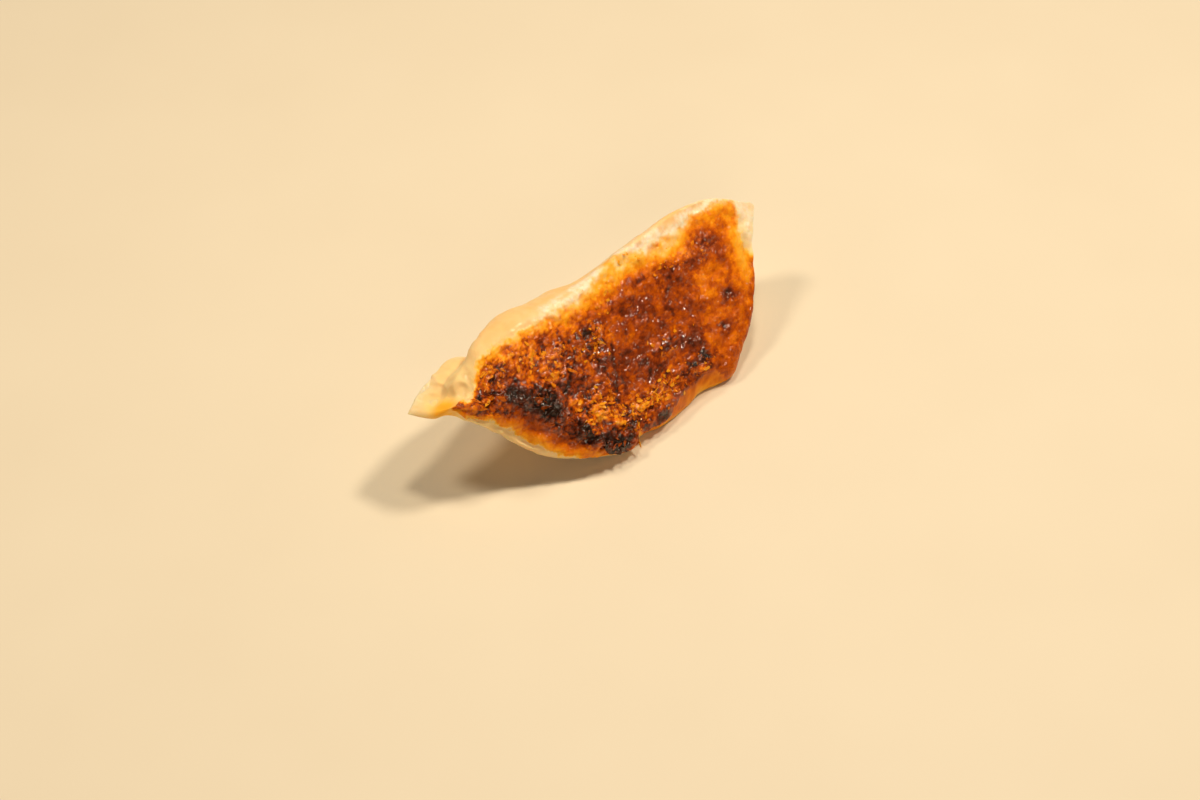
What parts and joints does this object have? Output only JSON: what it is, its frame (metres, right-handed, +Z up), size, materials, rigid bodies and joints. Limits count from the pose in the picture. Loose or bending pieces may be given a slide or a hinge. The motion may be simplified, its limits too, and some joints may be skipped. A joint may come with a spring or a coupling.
{
  "type": "pan-fried shrimp gyoza",
  "caption": "Pan-fried crescent dumpling on its pleated side, with a flat browned base, bellied dough walls, a pinched seam and an ear at each end.",
  "frame": {"origin": "bottom centre of the bounding box, on the surface the dumpling lies on", "axes": "+X along the dumpling from the long ear to the short one, +Z up; the browned base faces -Y and up"},
  "size_m": [0.0836, 0.0324, 0.0254],
  "materials": {
    "fried_dough": "moist translucent dough with a browned, craggy, slightly oily crust on the base"
  },
  "bodies": {
    "root": {"gyoza": "fried_dough"}
  },
  "joints": []
}
